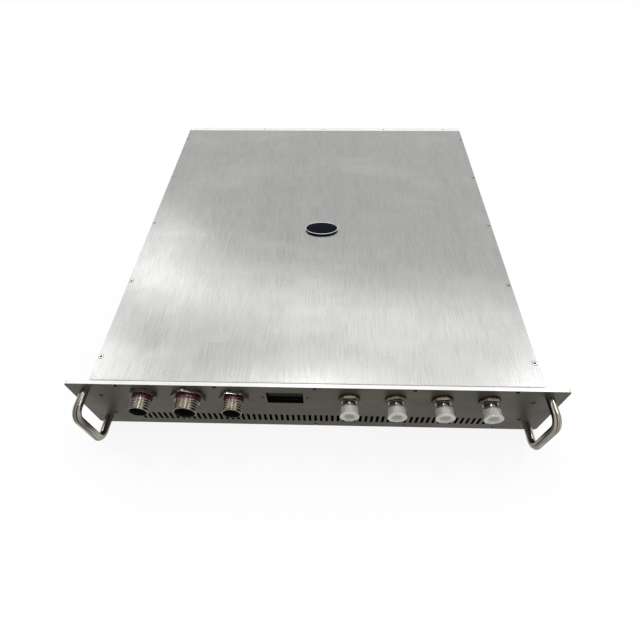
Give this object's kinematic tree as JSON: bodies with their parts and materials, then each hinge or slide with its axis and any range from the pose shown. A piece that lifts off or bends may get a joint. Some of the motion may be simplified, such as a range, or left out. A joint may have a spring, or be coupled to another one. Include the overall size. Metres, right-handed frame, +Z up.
{
  "type": "rf filter bank",
  "caption": "Rack-mounted radio filter bank: brushed box with circular receptacles, capped coaxial jacks, an hour meter, vent slots and bar handles.",
  "frame": {"origin": "middle of the front panel's bottom edge, in the plane of the panel's rear face, where it meets a rack's rails", "axes": "+X to the right seen from the front, +Y from the panel to the rear wall, +Z up"},
  "size_m": [0.4826, 0.501, 0.091],
  "materials": {
    "panel_brushed": "brushed along its length",
    "cover_brushed": "brushed front to back, lightly scratched",
    "plate_brushed": "brushed",
    "dark_screw": "black oxide",
    "bright_screw": "plain stainless",
    "handle_steel": "fine brushed stainless",
    "badge_enamel": "dark blue domed badge with a silver rim, no lettering",
    "meter_black": "moulded",
    "display_grey": "blank display",
    "lens_glass": "clear",
    "nickel": "nickel plated",
    "band_red": "red lacquer band",
    "insert_black": "moulded",
    "contact_gold": "gold plated",
    "washer_steel": "zinc plated",
    "ptfe_white": "turned",
    "cap_white": "thin translucent moulding",
    "filter_alochrome": "chromate conversion coated",
    "brass_parts": "machined",
    "coax_copper": "bare copper tube",
    "board_green": "solder mask",
    "parts_black": "moulded",
    "module_grey": "anodised",
    "loom_black": "sleeved wires"
  },
  "bodies": {
    "chassis": {"front_panel": "panel_brushed", "base_plate": "plate_brushed", "left_wall": "plate_brushed", "right_wall": "plate_brushed", "rear_wall": "plate_brushed", "top_cover": "cover_brushed", "panel_screws": "dark_screw", "rear_screws": "dark_screw", "cover_screws": "bright_screw", "base_screws": "bright_screw", "left_handle": "handle_steel", "right_handle": "handle_steel", "handle_screws": "bright_screw", "badge": "badge_enamel", "meter_case": "meter_black", "meter_display": "display_grey", "meter_lens": "lens_glass", "meter_screws": "dark_screw", "receptacle_1_shell": "nickel", "receptacle_1_nut": "nickel", "receptacle_1_band": "band_red", "receptacle_1_insert": "insert_black", "receptacle_1_contacts": "contact_gold", "receptacle_2_shell": "nickel", "receptacle_2_nut": "nickel", "receptacle_2_band": "band_red", "receptacle_2_insert": "insert_black", "receptacle_2_contacts": "contact_gold", "receptacle_3_shell": "nickel", "receptacle_3_nut": "nickel", "receptacle_3_band": "band_red", "receptacle_3_insert": "insert_black", "receptacle_3_contacts": "contact_gold", "rf_jack_1": "nickel", "rf_jack_2": "nickel", "rf_jack_3": "nickel", "rf_jack_4": "nickel", "rf_jack_nuts": "nickel", "rf_lock_washers": "washer_steel", "rf_insulators": "ptfe_white", "rf_contacts": "contact_gold", "band_filter_1": "filter_alochrome", "band_filter_2": "filter_alochrome", "band_filter_3": "filter_alochrome", "filter_lids": "filter_alochrome", "tuning_screws": "brass_parts", "inner_ports": "brass_parts", "switch_module": "filter_alochrome", "coax_jumpers": "coax_copper", "control_board": "board_green", "board_parts": "parts_black", "board_standoffs": "brass_parts", "power_module": "module_grey", "wire_looms": "loom_black"},
    "cap_1": {"rf_cap_1": "cap_white"},
    "cap_2": {"rf_cap_2": "cap_white"},
    "cap_3": {"rf_cap_3": "cap_white"},
    "cap_4": {"rf_cap_4": "cap_white"}
  },
  "joints": [
    {"name": "cap_1_pull", "type": "slide", "parent": "chassis", "child": "cap_1", "axis": [0, -1, 0], "range_m": [0, 0.04]},
    {"name": "cap_2_pull", "type": "slide", "parent": "chassis", "child": "cap_2", "axis": [0, -1, 0], "range_m": [0, 0.04]},
    {"name": "cap_3_pull", "type": "slide", "parent": "chassis", "child": "cap_3", "axis": [0, -1, 0], "range_m": [0, 0.04]},
    {"name": "cap_4_pull", "type": "slide", "parent": "chassis", "child": "cap_4", "axis": [0, -1, 0], "range_m": [0, 0.04]}
  ]
}
